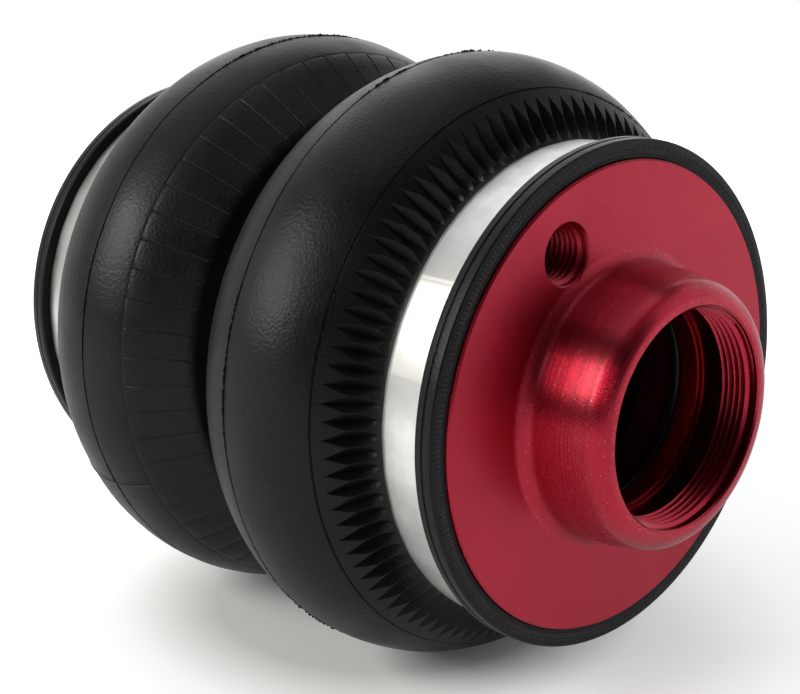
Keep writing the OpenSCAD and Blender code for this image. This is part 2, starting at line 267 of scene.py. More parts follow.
def notch_grid(reach, radius, seed):
    """Angles and depths of the leaf-shaped notches, for every section point and column. Along the flank
    the keel's depth swells and dies away as a sine, fullest past the middle. Both sides rise from the
    keel at the same slope until they meet the flank or the next notch. Eight columns follow each notch:
    its ridge, the land beside it, its two rims, its keel and the middles of its sides."""
    draw = np.random.default_rng(seed)
    start = draw.uniform(-0.05, 0.03, NOTCHES)
    way = np.clip((reach[:, None] - start) / (1 - start), 0, 1)
    keel = NOTCH_DEPTH * np.sin(pi * way ** 1.3) ** 0.85 * draw.uniform(0.94, 1.02, NOTCHES)
    pitch = 2 * pi * radius[:, None] / NOTCHES
    beyond = np.clip(np.maximum(-reach, reach - 1)[:, None] * 3, 0, 1)
    half = np.clip(keel / (NOTCH_SLOPE * pitch), 0.03 + 0.2 * beyond, 0.475)
    rim = np.maximum(keel - NOTCH_SLOPE * pitch * half, 0)
    land = (half + 0.5) / 2
    across = np.stack([0 * half - 0.5, -land, -half, -0.55 * half, 0 * half, 0.55 * half, half, land], -1)
    depth = np.stack([rim, rim, rim, 0.55 * rim + 0.45 * keel, keel, 0.55 * rim + 0.45 * keel, rim, rim], -1)
    angles = NOTCH_PHASE + 360 / NOTCHES * (np.arange(NOTCHES)[None, :, None] + across)
    return angles.reshape(len(reach), -1), depth.reshape(len(reach), -1)


def line_cut(turn, at, half, depth):
    """Depth of a thin V-shaped line round the crown: it falls off evenly to each side."""
    off = np.abs(np.nan_to_num(turn, nan=1e3) - at) * pi / 180 * CROWN_R
    return depth * np.maximum(0, 1 - off / half)


def cover_crown(name, side, shift, seed):
    """The cover from the valley to the pleat line: its section turned round the axis, with sipes and
    thin lines sunk into it, the ridge of the mould's seam and a slight unevenness. A sipe is a V across
    the panel, deepest on the upper side."""
    loop, turn, sipe = crown_part()
    seam = SEAM_AT[side]
    angles = np.sort(np.concatenate([sipe_angles(shift), seam + np.array([-0.36, -0.18, 0.0, 0.18, 0.36])]))
    away = (angles - shift + 180 / SIPES) % (360 / SIPES) - 180 / SIPES
    slit = np.maximum(0, 1 - np.abs(away) * SIPES / 360 / SIPE_HALF)
    slit = slit * (0.6 + 0.4 * np.cos(np.radians(angles - SIPE_DEEPEST)))
    lines = (line_cut(turn, PLEAT_LINE, PLEAT_HALF, 0.16) + line_cut(turn, PARTING_LINE, LINE_HALF, 0.17)
             + line_cut(turn, SIPE_LINE, LINE_HALF, 0.08))
    swell = np.exp(-((np.nan_to_num(turn, nan=1e3) - 5) / 30) ** 2)
    lift = swell[:, None] * (wobble(angles, seed, (3, 5, 8, 13, 21), 0.06) - 0.06)[None, :]
    ridge = np.maximum(0, 1 - np.abs(angles - seam) / 0.3) * 0.2
    reach = np.clip((np.nan_to_num(turn, nan=-1e3) - SIPE_LINE) / 2, 0, 1) * np.clip((38 - turn) / 3, 0, 1)
    lift = lift - SIPE_DEPTH * sipe[:, None] * slit[None, :] - lines[:, None]
    lift = lift + np.nan_to_num(reach)[:, None] * ridge[None, :]
    return turned_piece(name, loop, angles, side, lift, 24.0)


def cover_pleats(name, side, seed):
    """The cover from the pleat line to the lip, with the ring of notches in its end flank."""
    loop, turn, reach = pleat_part()
    angles, depth = notch_grid(reach, loop[:, 0], seed)
    lift = -depth - line_cut(turn, PLEAT_LINE, PLEAT_HALF, 0.16)[:, None]
    return turned_piece(name, loop, angles, side, lift, 15.0)


def flash_ring(name, side, at, stretch, seed, tall):
    """Torn mould flash: a thin ragged fin that stands on the crown at one arc angle. Its height is a
    random saw that comes and goes round the axis and dies away where the object rests on the floor;
    its section is a narrow wedge."""
    draw = np.random.default_rng(seed)
    angles = np.arange(0, 360, 0.3)
    patch = np.clip(wobble(angles, seed, (1, 2, 3, 5, 7), 1.0) * 0.6 + 0.25, 0, 1)
    for peak, width in stretch:
        away = (angles - peak + 180) % 360 - 180
        patch = np.maximum(patch, np.exp(-((away / width) ** 2)))
    tooth = draw.uniform(0.15, 1.0, len(angles)) * np.where(draw.uniform(0, 1, len(angles)) < 0.22, 0.25, 1)
    off_floor = np.clip(np.abs((angles - 90) % 360 - 180) / 9 - 0.4, 0, 1)
    height = (0.03 + tall * patch * tooth) * off_floor - 0.02
    wide, thin, root = np.degrees(0.16 / CROWN_R), np.degrees(0.046 / CROWN_R), 0.3
    foot = arc(CROWN, CROWN_R - root, [at - wide, at + wide])
    normal = np.array([np.cos(radians(at)), np.sin(radians(at))])
    top = arc(CROWN, CROWN_R, [at - thin, at + thin])
    loop = np.array([foot[0], top[0], top[1], foot[1]])
    a = np.radians(angles)
    rise = np.array([0, 1, 1, 0])[:, None] * height[None, :]
    radius = loop[:, :1] + normal[0] * rise
    station = loop[:, 1:] + normal[1] * rise
    points = np.stack([MIDDLE + side * station, radius * np.cos(a), radius * np.sin(a)], -1)
    return put_mesh(name, points, grid_faces(4, len(a), side < 0), 20.0)


# Small pieces and the hub cap


def cord_ends(name, side, radius, count, lean, seed):
    """Cut ends of the cords in the lip: flat domes on a ring. Each is a small grid of rings round
    its own centre, longer than wide and leaning one way, and its height falls as a circle's."""
    draw = np.random.default_rng(seed)
    a = 2 * pi / count * (np.arange(count) + draw.uniform(-0.12, 0.12, count))
    around = np.arange(8) * pi / 4
    rings = np.array([1.0, 0.75, 0.3])
    along = 0.42 * rings[:, None] * np.cos(around)
    across = 0.2 * rings[:, None] * np.sin(around)
    rise = np.broadcast_to(0.16 * np.sqrt(1 - (0.97 * rings[:, None]) ** 2), along.shape)
    tilt = radians(lean)
    inward = along * np.cos(tilt) - across * np.sin(tilt)
    sideways = along * np.sin(tilt) + across * np.cos(tilt)
    size = draw.uniform(0.75, 1.1, count)[:, None, None]
    r = radius + size * inward
    t = a[:, None, None] + size * sideways / radius
    x = MIDDLE + side * (LIP_END - 0.02 + size * rise)
    dome = np.stack([np.broadcast_to(x, r.shape), r * np.cos(t), r * np.sin(t)], -1).reshape(count, -1, 3)
    n = len(around)
    j = np.arange(n)
    walls = [np.stack([k * n + j, k * n + (j + 1) % n, (k + 1) * n + (j + 1) % n, (k + 1) * n + j], 1)
             for k in range(len(rings) - 1)]
    last = (len(rings) - 1) * n
    top = np.array([[last, last + 1, last + 2, last + 3], [last, last + 3, last + 4, last + 7],
                    [last + 4, last + 5, last + 6, last + 7]])
    foot = np.array([[3, 2, 1, 0], [7, 4, 3, 0], [7, 6, 5, 4]])
    one = np.concatenate(walls + [top, foot])
    if side * np.cos(tilt) < 0:
        one = one[:, ::-1]
    faces = (one[None] + (np.arange(count) * dome.shape[1])[:, None, None]).reshape(-1, 4)
    return put_mesh(name, dome, faces, 60.0)


def hub_cap_section():
    """Closed section of the hub cap: out along the skirt with its grip grooves, over the rim and the
    plate, up the hub's hollow foot, round its edge, down the bore with its run-out, its two small steps,
    the seal seat and the O-ring groove, and back along the recess."""
    face, top = HUB_FACE - MIDDLE, HUB_FACE - MIDDLE + HUB_HEIGHT
    half, deep = 0.8, 0.5
    grooves = [[[SKIRT_R, at - half], [SKIRT_R - deep, at - half],
                [SKIRT_R - deep, at + half], [SKIRT_R, at + half]]
               for at in BAND_START + (BAND_END - BAND_START) * np.array([1, 3, 5]) / 6]
    clearance, lead, bevel, step, bend_r = 0.1, 1.5, 0.4, 0.1, 3.0
    shoulder = shoulder_start(COVER_WALL + clearance)
    run_out, upper_step, lower_step = THREAD_START - MIDDLE, face + 4.1, face + 3.0
    ring_top, ring_foot = face + RING_GROOVE_TOP, face + RING_GROOVE_FOOT
    return np.concatenate([
        [[SKIRT_R - lead, SKIRT_END], [SKIRT_R, SKIRT_END + lead]], *grooves,
        [[SKIRT_R, shoulder], [RIM_R, shoulder + (RIM_R - SKIRT_R) / tan(radians(SHOULDER))]],
        [[RIM_R, face - bevel], [RIM_R - bevel, face], [45.0, face], [38.0, face]],
        arc((HUB_R + HUB_FOOT, face + HUB_FOOT), HUB_FOOT, np.linspace(-90, -180, 12)),
        [[HUB_R, face + 9.0]],
        arc((HUB_LIP_R - HUB_EDGE, top - HUB_EDGE), HUB_EDGE, np.linspace(0, 90, 16)),
        [[THREAD_R + bevel, top], [THREAD_R, top - bevel], [THREAD_R, run_out]],
        [[THREAD_R + bevel, run_out], [THREAD_R + bevel, upper_step + step], [THREAD_R, upper_step]],
        [[THREAD_R, lower_step + step], [THREAD_R - bevel, lower_step], [SEAL_R, face - 0.5]],
        [[SEAL_R, ring_top], [RING_GROOVE_R, ring_top], [RING_GROOVE_R, ring_foot], [SEAL_R, ring_foot]],
        [[SEAL_R, PLATE_BACK]],
        arc((RECESS_R - bend_r, PLATE_BACK - bend_r), bend_r, np.linspace(90, 0, 8)),
        [[RECESS_R, SKIRT_END]],
    ])


def bored(piece, centre, radius, bottom, face, top):
    """Bores a hole along the axis through a piece: the cutter is a closed cylinder that opens into a
    short cone at the face. Its faces are turned outward, and the cut mesh replaces the piece's own."""
    n, half = 72, 0.35
    a = np.arange(n) * 2 * pi / n
    mouth = radius + 2 * half
    rings = [(radius, bottom), (radius, face - half), (mouth, face + half), (mouth, top)]
    points = np.concatenate([np.stack([0 * a + x, centre[0] + r * np.cos(a), centre[1] + r * np.sin(a)], 1)
                             for r, x in rings]) * MM
    j, k = np.arange(n), (np.arange(n) + 1) % n
    walls = [np.stack([i * n + j, i * n + k, (i + 1) * n + k, (i + 1) * n + j], 1).tolist()
             for i in range(len(rings) - 1)]
    ends = [j.tolist(), (j + (len(rings) - 1) * n).tolist()]
    shape = bpy.data.meshes.new("drill")
    shape.from_pydata(points.tolist(), [], sum(walls, []) + ends)
    drill = bpy.data.objects.new("drill", shape)
    outside = bmesh.new()
    outside.from_mesh(shape)
    bmesh.ops.recalc_face_normals(outside, faces=outside.faces)
    outside.to_mesh(shape)
    outside.free()
    bpy.context.scene.collection.objects.link(drill)
    cut = piece.modifiers.new("bore", "BOOLEAN")
    cut.operation, cut.solver, cut.object = "DIFFERENCE", "EXACT", drill
    done = bpy.data.meshes.new_from_object(piece.evaluated_get(bpy.context.evaluated_depsgraph_get()))
    piece.modifiers.clear()
    piece.data = done
    done.polygons.foreach_set("use_smooth", np.ones(len(done.polygons), bool))
    done.set_sharp_from_angle(angle=radians(25))
    bpy.data.objects.remove(drill)
    bpy.data.meshes.remove(shape)
    return piece


def crimp_band(name, side, seed):
    """Swaged band: its section is carried round the axis with a radius that follows the flats left
    by the press segments, with a shallow crease where two segments met."""
    segments = 32
    angles = np.arange(0, 360, 0.375)
    draw = np.random.default_rng(seed)
    part = (angles / (360 / segments) + 0.18) % 1
    sag = 1 / np.cos((part - 0.5) * 2 * pi / segments) - 1
    crease = np.exp(-(np.minimum(part, 1 - part) / 0.035) ** 2)
    strength = draw.uniform(0.2, 1.0, segments)[((angles / (360 / segments) + 0.18) % segments).astype(int)]
    bevel = 0.28
    outer = [
        [BAND_OUT - bevel, BAND_START], [BAND_OUT - 0.08, BAND_START + 0.08], [BAND_OUT, BAND_START + bevel],
        *[[BAND_OUT, s] for s in np.linspace(BAND_START + 1.2, BAND_END - 1.2, 6)],
        [BAND_OUT, BAND_END - bevel], [BAND_OUT - 0.08, BAND_END - 0.08], [BAND_OUT - bevel, BAND_END],
    ]
    loop = np.array([[BAND_IN, BAND_START], *outer, [BAND_IN, BAND_END]])
    facet = np.array([0.0] + [1.0] * len(outer) + [0.0])
    lift = facet[:, None] * (0.4 * (sag - sag.mean()) * BAND_OUT - 0.05 * crease * strength - 0.06)[None, :]
    return turned_piece(name, loop, angles, side, lift, 28.0)


def thread_ridge(name, centre, radius, pitch, start, end, height, taper=0.0, per_turn=96):
    """Internal thread: a ridge of triangular section with a blunt crest, carried along a helix. At
    angle a the ridge stands at x = start + pitch * a / (2 pi). It fades in and out over a third of
    a turn, and a pipe thread's radius also shrinks by taper for each millimetre along the axis."""
    turns = abs(end - start) / pitch
    steps = int(turns * per_turn)
    t = np.linspace(0, turns, steps)
    way = np.sign(end - start)
    fade = np.clip(np.minimum(t, turns - t) / 0.33, 0.04, 1) ** 0.7
    foot, crest = 0.47 * pitch, 0.07 * pitch
    along = np.array([-foot, -crest, crest, foot])[:, None] * np.ones_like(t)
    inward = np.array([-0.05, 1.0, 1.0, -0.05])[:, None] * np.ones_like(t)
    inward = np.where(inward > 0, height * fade, inward)
    x = start + way * pitch * t[None, :] + along
    r = radius - taper * np.abs(x - start) - inward
    a = 2 * pi * t[None, :]
    points = np.stack([x, centre[0] + r * np.cos(a), centre[1] + r * np.sin(a)], -1)
    i, j = np.meshgrid(np.arange(4), np.arange(steps - 1), indexing="ij")
    k = (i + 1) % 4
    sides = np.stack([i * steps + j, i * steps + j + 1, k * steps + j + 1, k * steps + j], -1).reshape(-1, 4)
    ends = np.array([[0, steps, 2 * steps, 3 * steps],
                     [4 * steps - 1, 3 * steps - 1, 2 * steps - 1, steps - 1]])
    faces = np.concatenate([sides, ends])
    return put_mesh(name, points, faces if way > 0 else faces[:, ::-1], 40.0)


# Finishes


def place(tree, kind, **sockets):
    """Adds a node. Keywords set its properties or, with spaces as underscores, its input sockets."""
    node = tree.nodes.new(kind)
    for key, value in sockets.items():
        if hasattr(node, key) and key not in node.inputs:
            setattr(node, key, value)
        else:
            node.inputs[key.replace("_", " ")].default_value = value
    return node


def join(tree, *pairs):
    """Links outputs to inputs, given as pairs of sockets."""
    for out, into in pairs:
        tree.links.new(out, into)


def new_group(name, inputs, outputs):
    """An empty shader node group with named number inputs (with their values) and outputs."""
    group = bpy.data.node_groups.new(name, "ShaderNodeTree")
    for key, (kind, value) in inputs.items():
        socket = group.interface.new_socket(key, in_out="INPUT", socket_type=kind)
        if value is not None:
            socket.default_value = value
    for key, kind in outputs.items():
        group.interface.new_socket(key, in_out="OUTPUT", socket_type=kind)
    return group, group.nodes.new("NodeGroupInput"), group.nodes.new("NodeGroupOutput")


def grain_group():
    """Leathery grain of moulded rubber: round cells roughened by fine noise, and a broad noise that
    gives the tone."""
    group, enter, leave = new_group(
        "moulded_grain",
        {"Vector": ("NodeSocketVector", None), "Cells per metre": ("NodeSocketFloat", 700.0)},
        {"Height": "NodeSocketFloat", "Tone": "NodeSocketFloat"},
    )
    cells = place(group, "ShaderNodeTexVoronoi", feature="SMOOTH_F1")
    cells.inputs["Smoothness"].default_value = 0.6
    fine = place(group, "ShaderNodeTexNoise", Detail=3.0, Roughness=0.6)
    broad = place(group, "ShaderNodeTexNoise", Scale=55.0, Detail=3.0, Roughness=0.55)
    double = place(group, "ShaderNodeMath", operation="MULTIPLY")
    double.inputs[1].default_value = 2.3
    mix = place(group, "ShaderNodeMath", operation="MULTIPLY_ADD")
    mix.inputs[1].default_value = 0.5
    join(group, (enter.outputs["Vector"], cells.inputs["Vector"]),
         (enter.outputs["Vector"], fine.inputs["Vector"]), (enter.outputs["Vector"], broad.inputs["Vector"]),
         (enter.outputs["Cells per metre"], cells.inputs["Scale"]),
         (enter.outputs["Cells per metre"], double.inputs[0]), (double.outputs[0], fine.inputs["Scale"]),
         (fine.outputs["Fac"], mix.inputs[0]), (cells.outputs["Distance"], mix.inputs[2]),
         (mix.outputs[0], leave.inputs["Height"]), (broad.outputs["Fac"], leave.inputs["Tone"]))
    return group


def specks_group():
    """Specks: a small round dot in each cell whose own random number is below the amount."""
    group, enter, leave = new_group(
        "dust_specks",
        {"Vector": ("NodeSocketVector", None), "Specks per metre": ("NodeSocketFloat", 450.0),
         "Amount": ("NodeSocketFloat", 0.1)},
        {"Mask": "NodeSocketFloat"},
    )
    cells = place(group, "ShaderNodeTexVoronoi", feature="F1")
    split = place(group, "ShaderNodeSeparateColor")
    chosen = place(group, "ShaderNodeMath", operation="LESS_THAN")
    dot = place(group, "ShaderNodeMapRange", interpolation_type="SMOOTHSTEP")
    for key, value in (("From Min", 0.12), ("From Max", 0.28), ("To Min", 1.0), ("To Max", 0.0)):
        dot.inputs[key].default_value = value
    both = place(group, "ShaderNodeMath", operation="MULTIPLY")
    join(group, (enter.outputs["Vector"], cells.inputs["Vector"]),
         (enter.outputs["Specks per metre"], cells.inputs["Scale"]),
         (cells.outputs["Color"], split.inputs[0]), (split.outputs[0], chosen.inputs[0]),
         (enter.outputs["Amount"], chosen.inputs[1]), (cells.outputs["Distance"], dot.inputs["Value"]),
         (chosen.outputs[0], both.inputs[0]), (dot.outputs[0], both.inputs[1]),
         (both.outputs[0], leave.inputs["Mask"]))
    return group


def turned_group():
    """Lathe marks: fine rings round the stroke axis, as noise that changes quickly with the radius
    and the station and hardly at all round the axis."""
    group, enter, leave = new_group(
        "turning_marks",
        {"Vector": ("NodeSocketVector", None), "Marks per metre": ("NodeSocketFloat", 3000.0)},
        {"Height": "NodeSocketFloat"},
    )
    flat = place(group, "ShaderNodeVectorMath", operation="MULTIPLY")
    flat.inputs[1].default_value = (0, 1, 1)
    radius = place(group, "ShaderNodeVectorMath", operation="LENGTH")
    split = place(group, "ShaderNodeSeparateXYZ")
    gather = place(group, "ShaderNodeCombineXYZ")
    noise = place(group, "ShaderNodeTexNoise", noise_dimensions="2D", Detail=2.0, Roughness=0.6)
    join(group, (enter.outputs["Vector"], flat.inputs[0]), (flat.outputs[0], radius.inputs[0]),
         (enter.outputs["Vector"], split.inputs[0]), (split.outputs["X"], gather.inputs["X"]),
         (radius.outputs["Value"], gather.inputs["Y"]), (gather.outputs[0], noise.inputs["Vector"]),
         (enter.outputs["Marks per metre"], noise.inputs["Scale"]),
         (noise.outputs["Fac"], leave.inputs["Height"]))
    return group


def new_finish(name):
    """A material with its Principled shader; returns the material, its tree, the shader and a
    node that gives Object coordinates."""
    finish = bpy.data.materials.new(name)
    finish.use_nodes = True
    tree = finish.node_tree
    shader = tree.nodes["Principled BSDF"]
    return finish, tree, shader, tree.nodes.new("ShaderNodeTexCoord")


def use(tree, group, where, **values):
    """Places a node group, feeds it Object coordinates and sets its other inputs."""
    node = tree.nodes.new("ShaderNodeGroup")
    node.node_tree = group
    tree.links.new(where.outputs["Object"], node.inputs["Vector"])
    for key, value in values.items():
        node.inputs[key.replace("_", " ")].default_value = value
    return node


def ramp(tree, stops):
    """A colour ramp with the given stops of place and linear colour."""
    node = tree.nodes.new("ShaderNodeValToRGB")
    bar = node.color_ramp
    while len(bar.elements) < len(stops):
        bar.elements.new(0.5)
    for element, (at, colour) in zip(bar.elements, stops):
        element.position = at
        element.color = (*colour, 1)
    return node


def span(tree, low, high, from_low=0.0, from_high=1.0):
    """A node that maps one range of numbers onto another."""
    node = tree.nodes.new("ShaderNodeMapRange")
    for key, value in (("From Min", from_low), ("From Max", from_high), ("To Min", low), ("To Max", high)):
        node.inputs[key].default_value = value
    return node


def blend_colour(tree, mask, base, colour):
    """Mixes a fixed colour over a colour output by a mask, and gives the result's socket."""
    node = tree.nodes.new("ShaderNodeMix")
    node.data_type = "RGBA"
    tree.links.new(mask, node.inputs[0])
    tree.links.new(base, node.inputs[6])
    node.inputs[7].default_value = (*colour, 1)
    return node.outputs[2]


def bump(tree, height, strength, distance):
    """A bump node on a height."""
    node = tree.nodes.new("ShaderNodeBump")
    node.inputs["Strength"].default_value = strength
    node.inputs["Distance"].default_value = distance
    tree.links.new(height, node.inputs["Height"])
    return node


GRAIN, SPECKS, MARKS = grain_group(), specks_group(), turned_group()


def rubber_finish(name, dark, light, rough, cells, depth, dust):
    """Black rubber: grainy, softly shiny, unevenly greyed, with a little pale dust."""
    finish, tree, shader, where = new_finish(name)
    grain = use(tree, GRAIN, where, Cells_per_metre=cells)
    specks = use(tree, SPECKS, where, Specks_per_metre=2200.0, Amount=dust)
    tone = ramp(tree, [(0.3, dark), (0.7, light)])
    gloss = span(tree, rough - 0.07, rough + 0.09, 0.3, 0.7)
    relief = bump(tree, grain.outputs["Height"], 0.5, depth)
    dusty = blend_colour(tree, specks.outputs["Mask"], tone.outputs[0], (0.07, 0.068, 0.066))
    join(tree, (grain.outputs["Tone"], tone.inputs[0]), (grain.outputs["Tone"], gloss.inputs[0]),
         (dusty, shader.inputs["Base Color"]), (gloss.outputs[0], shader.inputs["Roughness"]),
         (relief.outputs[0], shader.inputs["Normal"]))
    shader.inputs["Specular IOR Level"].default_value = 0.21
    return finish


def anodised_finish(name):
    """Red anodised aluminium: blasted on the plate, finely turned on the hub, with faint cloudiness
    and pale specks. Outside the bore a very fine noise tips the normal along the axis, to and fro, which
    spreads a reflection along the hub as turning marks do."""
    finish, tree, shader, where = new_finish(name)
    blast = place(tree, "ShaderNodeTexNoise", Scale=2400.0, Detail=1.0, Roughness=0.6)
    cloud = place(tree, "ShaderNodeTexNoise", Scale=45.0, Detail=4.0, Roughness=0.6)
    marks = use(tree, MARKS, where, Marks_per_metre=2600.0)
    specks = use(tree, SPECKS, where, Specks_per_metre=1900.0, Amount=0.22)
    split = place(tree, "ShaderNodeSeparateXYZ")
    on_hub = span(tree, 0.0, 1.0, (HUB_FACE + 0.4) * MM, (HUB_FACE + 4.0) * MM)
    tone = ramp(tree, [(0.25, (0.41, 0.013, 0.034)), (0.75, (0.50, 0.020, 0.047))])
    gloss = span(tree, 0.4, 0.27)
    height = place(tree, "ShaderNodeMix", data_type="FLOAT")
    relief = bump(tree, height.outputs[0], 0.55, 0.0001)
    tool = place(tree, "ShaderNodeTexNoise", noise_dimensions="1D", Scale=45000.0, Detail=0.0)
    flat = place(tree, "ShaderNodeVectorMath", operation="MULTIPLY")
    flat.inputs[1].default_value = (0, 1, 1)
    radius = place(tree, "ShaderNodeVectorMath", operation="LENGTH")
    outside = span(tree, 0.0, 1.0, (THREAD_R + 2.0) * MM, (THREAD_R + 4.0) * MM)
    lean = span(tree, -1.25, 1.25)
    turned = place(tree, "ShaderNodeMath", operation="MULTIPLY")
    axial = tree.nodes.new("ShaderNodeCombineXYZ")
    tipped = place(tree, "ShaderNodeVectorMath", operation="ADD")
    unit = place(tree, "ShaderNodeVectorMath", operation="NORMALIZE")
    speckled = blend_colour(tree, specks.outputs["Mask"], tone.outputs[0], (0.72, 0.19, 0.19))
    join(tree, (where.outputs["Object"], blast.inputs["Vector"]),
         (where.outputs["Object"], cloud.inputs["Vector"]), (where.outputs["Object"], split.inputs[0]),
         (split.outputs["X"], on_hub.inputs[0]),
         (cloud.outputs["Fac"], tone.inputs[0]), (on_hub.outputs[0], gloss.inputs[0]),
         (on_hub.outputs[0], height.inputs[0]), (blast.outputs["Fac"], height.inputs[2]),
         (marks.outputs["Height"], height.inputs[3]),
         (speckled, shader.inputs["Base Color"]), (gloss.outputs[0], shader.inputs["Roughness"]),
         (split.outputs["X"], tool.inputs["W"]),
         (where.outputs["Object"], flat.inputs[0]), (flat.outputs[0], radius.inputs[0]),
         (radius.outputs["Value"], outside.inputs[0]), (outside.outputs[0], turned.inputs[0]),
         (tool.outputs["Fac"], lean.inputs[0]), (lean.outputs[0], turned.inputs[1]),
         (turned.outputs[0], axial.inputs["X"]),
         (relief.outputs[0], tipped.inputs[0]), (axial.outputs[0], tipped.inputs[1]),
         (tipped.outputs[0], unit.inputs[0]), (unit.outputs[0], shader.inputs["Normal"]))
    shader.inputs["Metallic"].default_value = 1.0
    shader.inputs["Coat Weight"].default_value = 0.3
    shader.inputs["Coat Roughness"].default_value = 0.26
    return finish


def band_finish(name):
    """Bright plated band: drawn along its length, with pale blotches and dull streaks."""
    finish, tree, shader, where = new_finish(name)
    drawn = place(tree, "ShaderNodeVectorMath", operation="MULTIPLY")
    drawn.inputs[1].default_value = (1, 0.03, 0.03)
    streak = place(tree, "ShaderNodeTexNoise", Scale=1500.0, Detail=2.0, Roughness=0.6)
    blotch = place(tree, "ShaderNodeTexNoise", Scale=70.0, Detail=5.0, Roughness=0.65)
    tone = ramp(tree, [(0.3, (0.60, 0.61, 0.60)), (0.65, (0.83, 0.83, 0.81))])
    gloss = span(tree, 0.42, 0.3, 0.3, 0.7)
    relief = bump(tree, streak.outputs["Fac"], 0.05, 0.00005)
    join(tree, (where.outputs["Object"], drawn.inputs[0]), (drawn.outputs[0], streak.inputs["Vector"]),
         (where.outputs["Object"], blotch.inputs["Vector"]), (blotch.outputs["Fac"], tone.inputs[0]),
         (blotch.outputs["Fac"], gloss.inputs[0]), (tone.outputs[0], shader.inputs["Base Color"]),
         (gloss.outputs[0], shader.inputs["Roughness"]), (relief.outputs[0], shader.inputs["Normal"]))
    shader.inputs["Metallic"].default_value = 1.0
    return finish


def cord_finish(name, dark, light):
    """Cord: rubber-soaked fabric, matt and grainy, paler where it is cut."""
    finish, tree, shader, where = new_finish(name)
    grain = use(tree, GRAIN, where, Cells_per_metre=1500.0)
    tone = ramp(tree, [(0.3, dark), (0.75, light)])
    relief = bump(tree, grain.outputs["Height"], 0.6, 0.0001)
    join(tree, (grain.outputs["Tone"], tone.inputs[0]), (tone.outputs[0], shader.inputs["Base Color"]),
         (relief.outputs[0], shader.inputs["Normal"]))
    shader.inputs["Roughness"].default_value = 0.8
    return finish


def hoop_finish(name):
    """Steel hoop in a black coat: slightly uneven, softly glossy."""
    finish, tree, shader, where = new_finish(name)
    grain = use(tree, GRAIN, where, Cells_per_metre=900.0)
    tone = ramp(tree, [(0.3, (0.016, 0.016, 0.018)), (0.7, (0.04, 0.04, 0.043))])
    gloss = span(tree, 0.28, 0.42, 0.3, 0.7)
    relief = bump(tree, grain.outputs["Height"], 0.3, 0.00005)
    join(tree, (grain.outputs["Tone"], tone.inputs[0]), (tone.outputs[0], shader.inputs["Base Color"]),
         (grain.outputs["Tone"], gloss.inputs[0]), (gloss.outputs[0], shader.inputs["Roughness"]),
         (relief.outputs[0], shader.inputs["Normal"]))
    return finish


def wear(piece, finish):
    """Gives a piece its finish."""
    piece.data.materials.clear()
    piece.data.materials.append(finish)
    return piece


# The object

COVER_RUBBER = rubber_finish("cover_rubber", (0.0032, 0.0032, 0.0038), (0.0065, 0.0065, 0.0075),
                             rough=0.4, cells=1400.0, depth=0.00011, dust=0.07)
LINER_RUBBER = rubber_finish("liner_rubber", (0.01, 0.01, 0.011), (0.02, 0.02, 0.021),
                             rough=0.6, cells=900.0, depth=0.0001, dust=0.0)
SEAL_RUBBER = rubber_finish("seal_rubber", (0.008, 0.008, 0.009), (0.016, 0.016, 0.017),
                            rough=0.32, cells=1400.0, depth=0.00003, dust=0.0)
CORD_PLY = cord_finish("cord_ply", (0.012, 0.012, 0.013), (0.045, 0.043, 0.042))
CORD_ENDS = cord_finish("cut_cords", (0.05, 0.048, 0.05), (0.11, 0.105, 0.105))
RED_METAL = anodised_finish("red_anodised")
BAND_METAL = band_finish("plated_band")
HOOP_STEEL = hoop_finish("coated_hoop")

for node, finish, slot in (
    ("base_end_cap", RED_METAL, "cap_metal"),
    ("hub_seal_o_ring", SEAL_RUBBER, "seal_rubber"), ("base_seal_o_ring", SEAL_RUBBER, "seal_rubber"),
    ("girdle_hoop", HOOP_STEEL, "hoop_steel"),
):
    wear(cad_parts[node], finish)

PLY_ANGLES = np.arange(0, 360, 2.25)
CORDS = 330
SIDES = {"hub": (1, "bellows", "hub_end"), "base": (-1, "base", "bellows")}


def bend(piece):
    """Bakes the piece's placement into its mesh."""
    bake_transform(piece)


for end, (side, first, second) in SIDES.items():
    cap_body = second if side > 0 else first
    for cover in (cover_crown(f"cover_{end}_crown", side, 0.0 if side > 0 else 0.15, 11 + side),
                  cover_pleats(f"cover_{end}_pleats", side, 21 + side)):
        wear(cover, COVER_RUBBER)
        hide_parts("outer_cover")
        bend(cover)
    for label, node, (out, inn), finish, slot in (
        ("outer_ply", "outer_cord_ply", OUTER_PLY, CORD_PLY, "cord_ply"),
        ("inner_ply", "inner_cord_ply", INNER_PLY, CORD_PLY, "cord_ply"),
        ("liner", "inner_liner", LINER, LINER_RUBBER, "liner_rubber"),
    ):
        layer = turned_piece(f"{label}_{end}_half", layer_loop(out, inn, 2), PLY_ANGLES, side)
        wear(layer, finish)
        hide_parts(node)
        bend(layer)
    for label, at, stretch, tall in (
        ("parting", PARTING_LINE, ((88, 9), (110, 6)), 0.55),
        ("pleat", PLEAT_LINE, ((66, 11), (20, 8)), 0.45),
    ):
        flash = flash_ring(f"{label}_flash_{end}", side, at, stretch, 40 + side + len(label), tall)
        bend(wear(flash, COVER_RUBBER))
    for label, radius, lean in (("outer", LIP_R - 1.8, 38), ("inner", LIP_R - 2.6, -38)):
        cords = cord_ends(f"{label}_cord_ends_{end}", side, radius, CORDS, lean, 70 + side)
        wear(cords, CORD_ENDS)
        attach(cords, cap_body)
    band = wear(crimp_band(f"{end}_band", side, 5 + side), BAND_METAL)
    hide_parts(f"{end}_crimp_band")
    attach(band, cap_body)

